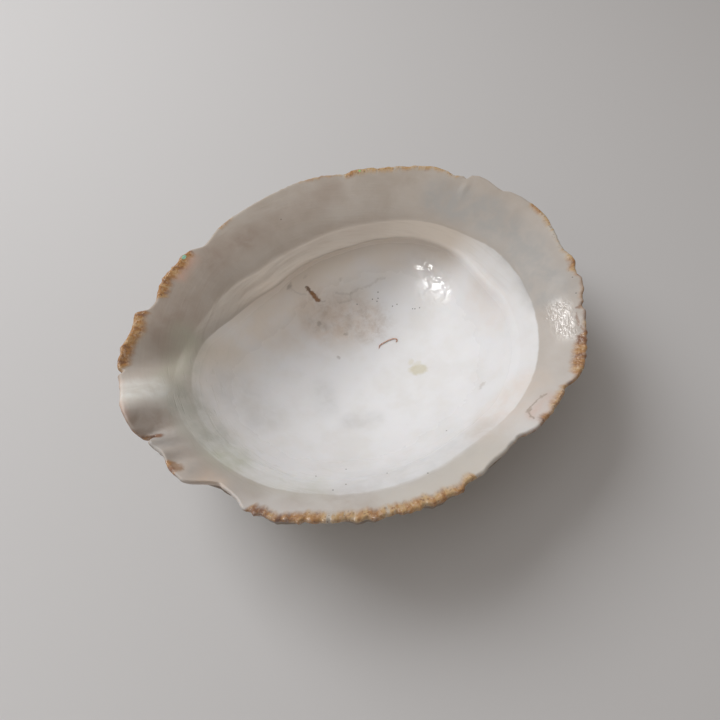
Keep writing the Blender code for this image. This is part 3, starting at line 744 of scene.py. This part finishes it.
def shell_outside():
    """Chalky, weathered aragonite with brown in the lee of each growth ledge."""
    material = bpy.data.materials.new("shell_outside")
    material.use_nodes = True
    tree = material.node_tree
    surface = tree.nodes["Principled BSDF"]
    object_place = node(tree, "TexCoord", {}).outputs["Object"]
    place = node(tree, "VectorMath", {0: object_place, "Scale": 1000.0}, operation="SCALE").outputs[0]
    flat_lines = stretch(tree, place, (0.25, 0.25, 1.0))
    colour = tint(tree, between(tree, cloud(tree, place, 22, 5.0, 0.6), 0.4, 0.65), CHALK, CREAM)
    stage = kept_value(tree, "stage")
    band = sum_of(tree, "MULTIPLY_ADD", cloud(tree, place, 9, 4.0), 0.10, stage)
    band = sum_of(tree, "SINE", sum_of(tree, "MULTIPLY", band, 52.0))
    colour = tint(tree, between(tree, band, 0.2, 1.0, 0.0, 0.35), colour, REEF_BROWN)
    low = between(tree, kept_value(tree, "crown"), -0.45, 0.1, 0.5, 0.0)
    colour = tint(tree, sum_of(tree, "MULTIPLY", low, cloud(tree, place, 6, 4.0)), colour, ALGAE)
    rim = between(tree, stage, 0.93, 1.0, 0.0, 0.75)
    colour = tint(tree, rim, colour, REEF_BROWN)
    specks = between(tree, cloud(tree, place, 1.6, 3.0, 0.7), 0.60, 0.72)
    colour = tint(tree, sum_of(tree, "MULTIPLY", specks, 0.5), colour, REEF_BROWN)
    tree.links.new(colour, surface.inputs["Base Color"])
    gloss = between(tree, cloud(tree, place, 8, 3.0), 0.3, 0.7, 0.55, 0.8)
    tree.links.new(gloss, surface.inputs["Roughness"])
    relief = sum_of(tree, "MULTIPLY", cloud(tree, flat_lines, 1.2, 4.0, 0.6), 0.8)
    relief = sum_of(tree, "MULTIPLY_ADD", cloud(tree, place, 3.5, 5.0, 0.65), 1.2, relief)
    bump = node(tree, "Bump", {"Height": relief, "Distance": 0.001, "Strength": 0.7})
    tree.links.new(bump.outputs[0], surface.inputs["Normal"])
    return material


outside.data.materials.append(shell_outside())
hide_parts("valve")
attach(outside, "root")

# A worm's lime tube, cemented to the bowl's floor: a thin hook, round and pinkish, with
# one end broken off. It was laid down by its own animal and stands a millimetre proud.

TUBE_PATH = [
    (20.3, 9.4, 12.0), (21.4, 11.0, 12.5), (24.0, 11.2, 12.8), (26.6, 10.9, 13.2), (29.4, 10.8, 13.6),
    (31.7, 10.2, 13.9), (33.9, 9.4, 14.2), (35.2, 8.0, 14.3), (35.0, 6.6, 14.2), (33.4, 6.0, 13.9),
]
TUBE_WIDTHS = [0.25, 0.35, 0.4, 0.38, 0.4, 0.44, 0.45, 0.5, 0.45, 0.3]


def worm_tube():
    """A round tube that swells and narrows along its path."""
    path = np.array(TUBE_PATH)
    widths = np.array(TUBE_WIDTHS)
    fine = np.linspace(0, len(path) - 1, 90)
    knots = np.arange(len(path))
    line = np.column_stack([np.interp(fine, knots, path[:, k]) for k in range(3)])
    for _ in range(30):
        line[1:-1] += 0.5 * ((line[:-2] + line[2:]) / 2 - line[1:-1])
    radius = np.interp(fine, knots, widths) * (1 + 0.07 * np.sin(fine * 17))
    ahead = np.gradient(line, axis=0)
    ahead /= np.linalg.norm(ahead, axis=1)[:, None]
    side = np.cross(ahead, (0, 0, 1))
    side /= np.linalg.norm(side, axis=1)[:, None]
    up = np.cross(side, ahead)
    bends = np.linspace(0, 2 * np.pi, 14, endpoint=False)
    rings = [line + radius[:, None] * (np.cos(b) * side + np.sin(b) * up) for b in bends]
    points = np.stack(rings, axis=1).reshape(-1, 3)
    points = np.vstack([points, line[:1] - 0.2 * ahead[:1], line[-1:] + 0.2 * ahead[-1:]])
    count = len(bends)
    faces = []
    for k in range(len(line) - 1):
        for j in range(count):
            other = (j + 1) % count
            faces.append((k * count + j, k * count + other, (k + 1) * count + other, (k + 1) * count + j))
    last, tip = (len(line) - 1) * count, len(points) - 1
    for j in range(count):
        other = (j + 1) % count
        faces += [(tip - 1, other, j), (last + j, last + other, tip)]
    mesh = bpy.data.meshes.new("worm_tube")
    mesh.from_pydata((points * MM).tolist(), [], faces)
    mesh.shade_smooth()
    piece = bpy.data.objects.new("worm_tube", mesh)
    bpy.context.scene.collection.objects.link(piece)
    return piece


def tube_lime():
    """Pinkish-brown lime, paler where it is rubbed."""
    material = bpy.data.materials.new("tube_lime")
    material.use_nodes = True
    tree = material.node_tree
    surface = tree.nodes["Principled BSDF"]
    object_place = node(tree, "TexCoord", {}).outputs["Object"]
    place = node(tree, "VectorMath", {0: object_place, "Scale": 1000.0}, operation="SCALE").outputs[0]
    patches = between(tree, cloud(tree, place, 1.4, 3.0), 0.35, 0.65)
    colour = tint(tree, patches, (0.42, 0.20, 0.13, 1), (0.70, 0.48, 0.38, 1))
    tree.links.new(colour, surface.inputs["Base Color"])
    surface.inputs["Roughness"].default_value = 0.45
    bump = node(tree, "Bump", {"Height": cloud(tree, place, 0.5), "Distance": 0.0003, "Strength": 0.5})
    tree.links.new(bump.outputs[0], surface.inputs["Normal"])
    return material


tube = worm_tube()
tube.data.materials.append(tube_lime())
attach(tube, "root")

# The room: a plain pale table, one tall window to the left behind it, a smaller one to
# the left in front, and the soft light of pale walls.

floor_mesh = bpy.data.meshes.new("table")
floor_mesh.from_pydata([(-4, -4, 0), (4, -4, 0), (4, 4, 0), (-4, 4, 0)], [], [(0, 1, 2, 3)])
floor = bpy.data.objects.new("table", floor_mesh)
bpy.context.scene.collection.objects.link(floor)
paint = bpy.data.materials.new("pale_paint")
paint.use_nodes = True
paint.node_tree.nodes["Principled BSDF"].inputs["Base Color"].default_value = (0.62, 0.62, 0.63, 1)
paint.node_tree.nodes["Principled BSDF"].inputs["Roughness"].default_value = 0.7
floor.data.materials.append(paint)

RIGHT, AWAY = Vector((0.8387, -0.5446, 0)), Vector((0.5446, 0.8387, 0))
LOOKED_AT = Vector((-0.02106, -0.0281, 0.088))


def window(name, right, away, up, wide, tall, watts, glints_only=False):
    """A pane of light that faces the shell: the big one lights, small ones only glint."""
    data = bpy.data.lights.new(name, "AREA")
    data.shape = "RECTANGLE"
    data.size, data.size_y, data.energy = wide, tall, watts
    lamp = bpy.data.objects.new(name, data)
    lamp.location = LOOKED_AT + right * RIGHT + away * AWAY + Vector((0, 0, up))
    lamp.rotation_euler = (lamp.location - LOOKED_AT).to_track_quat("Z", "Y").to_euler()
    lamp.visible_diffuse = not glints_only
    lamp.visible_glossy = glints_only
    bpy.context.scene.collection.objects.link(lamp)


window("daylight", -0.92, 0.60, 1.10, 0.85, 0.85, 15.2)
window("fill", -0.50, -0.20, 1.40, 0.8, 0.8, 2.4)
window("glint_behind", -0.66, 0.88, 0.98, 0.18, 0.30, 4.6, True)
window("glint_front", -0.98, -0.44, 0.86, 0.26, 0.40, 12.0, True)
window("glint_low", -0.80, -1.02, 0.42, 0.24, 0.24, 4.0, True)

sky = bpy.data.worlds.new("room")
sky.use_nodes = True
sky.node_tree.nodes["Background"].inputs["Color"].default_value = (1.0, 0.90, 0.81, 1)
sky.node_tree.nodes["Background"].inputs["Strength"].default_value = 0.27
bpy.context.scene.world = sky
bpy.context.scene.view_settings.view_transform = "Standard"

lens = bpy.data.cameras.new("camera")
lens.lens, lens.sensor_width = 28.0, 36.0
camera = bpy.data.objects.new("camera", lens)
TOWARDS_CAMERA = Vector((-0.2723, -0.4193, 0.866))
camera.location = LOOKED_AT + 0.328 * TOWARDS_CAMERA
camera.rotation_euler = TOWARDS_CAMERA.to_track_quat("Z", "Y").to_euler()
bpy.context.scene.collection.objects.link(camera)
bpy.context.scene.camera = camera
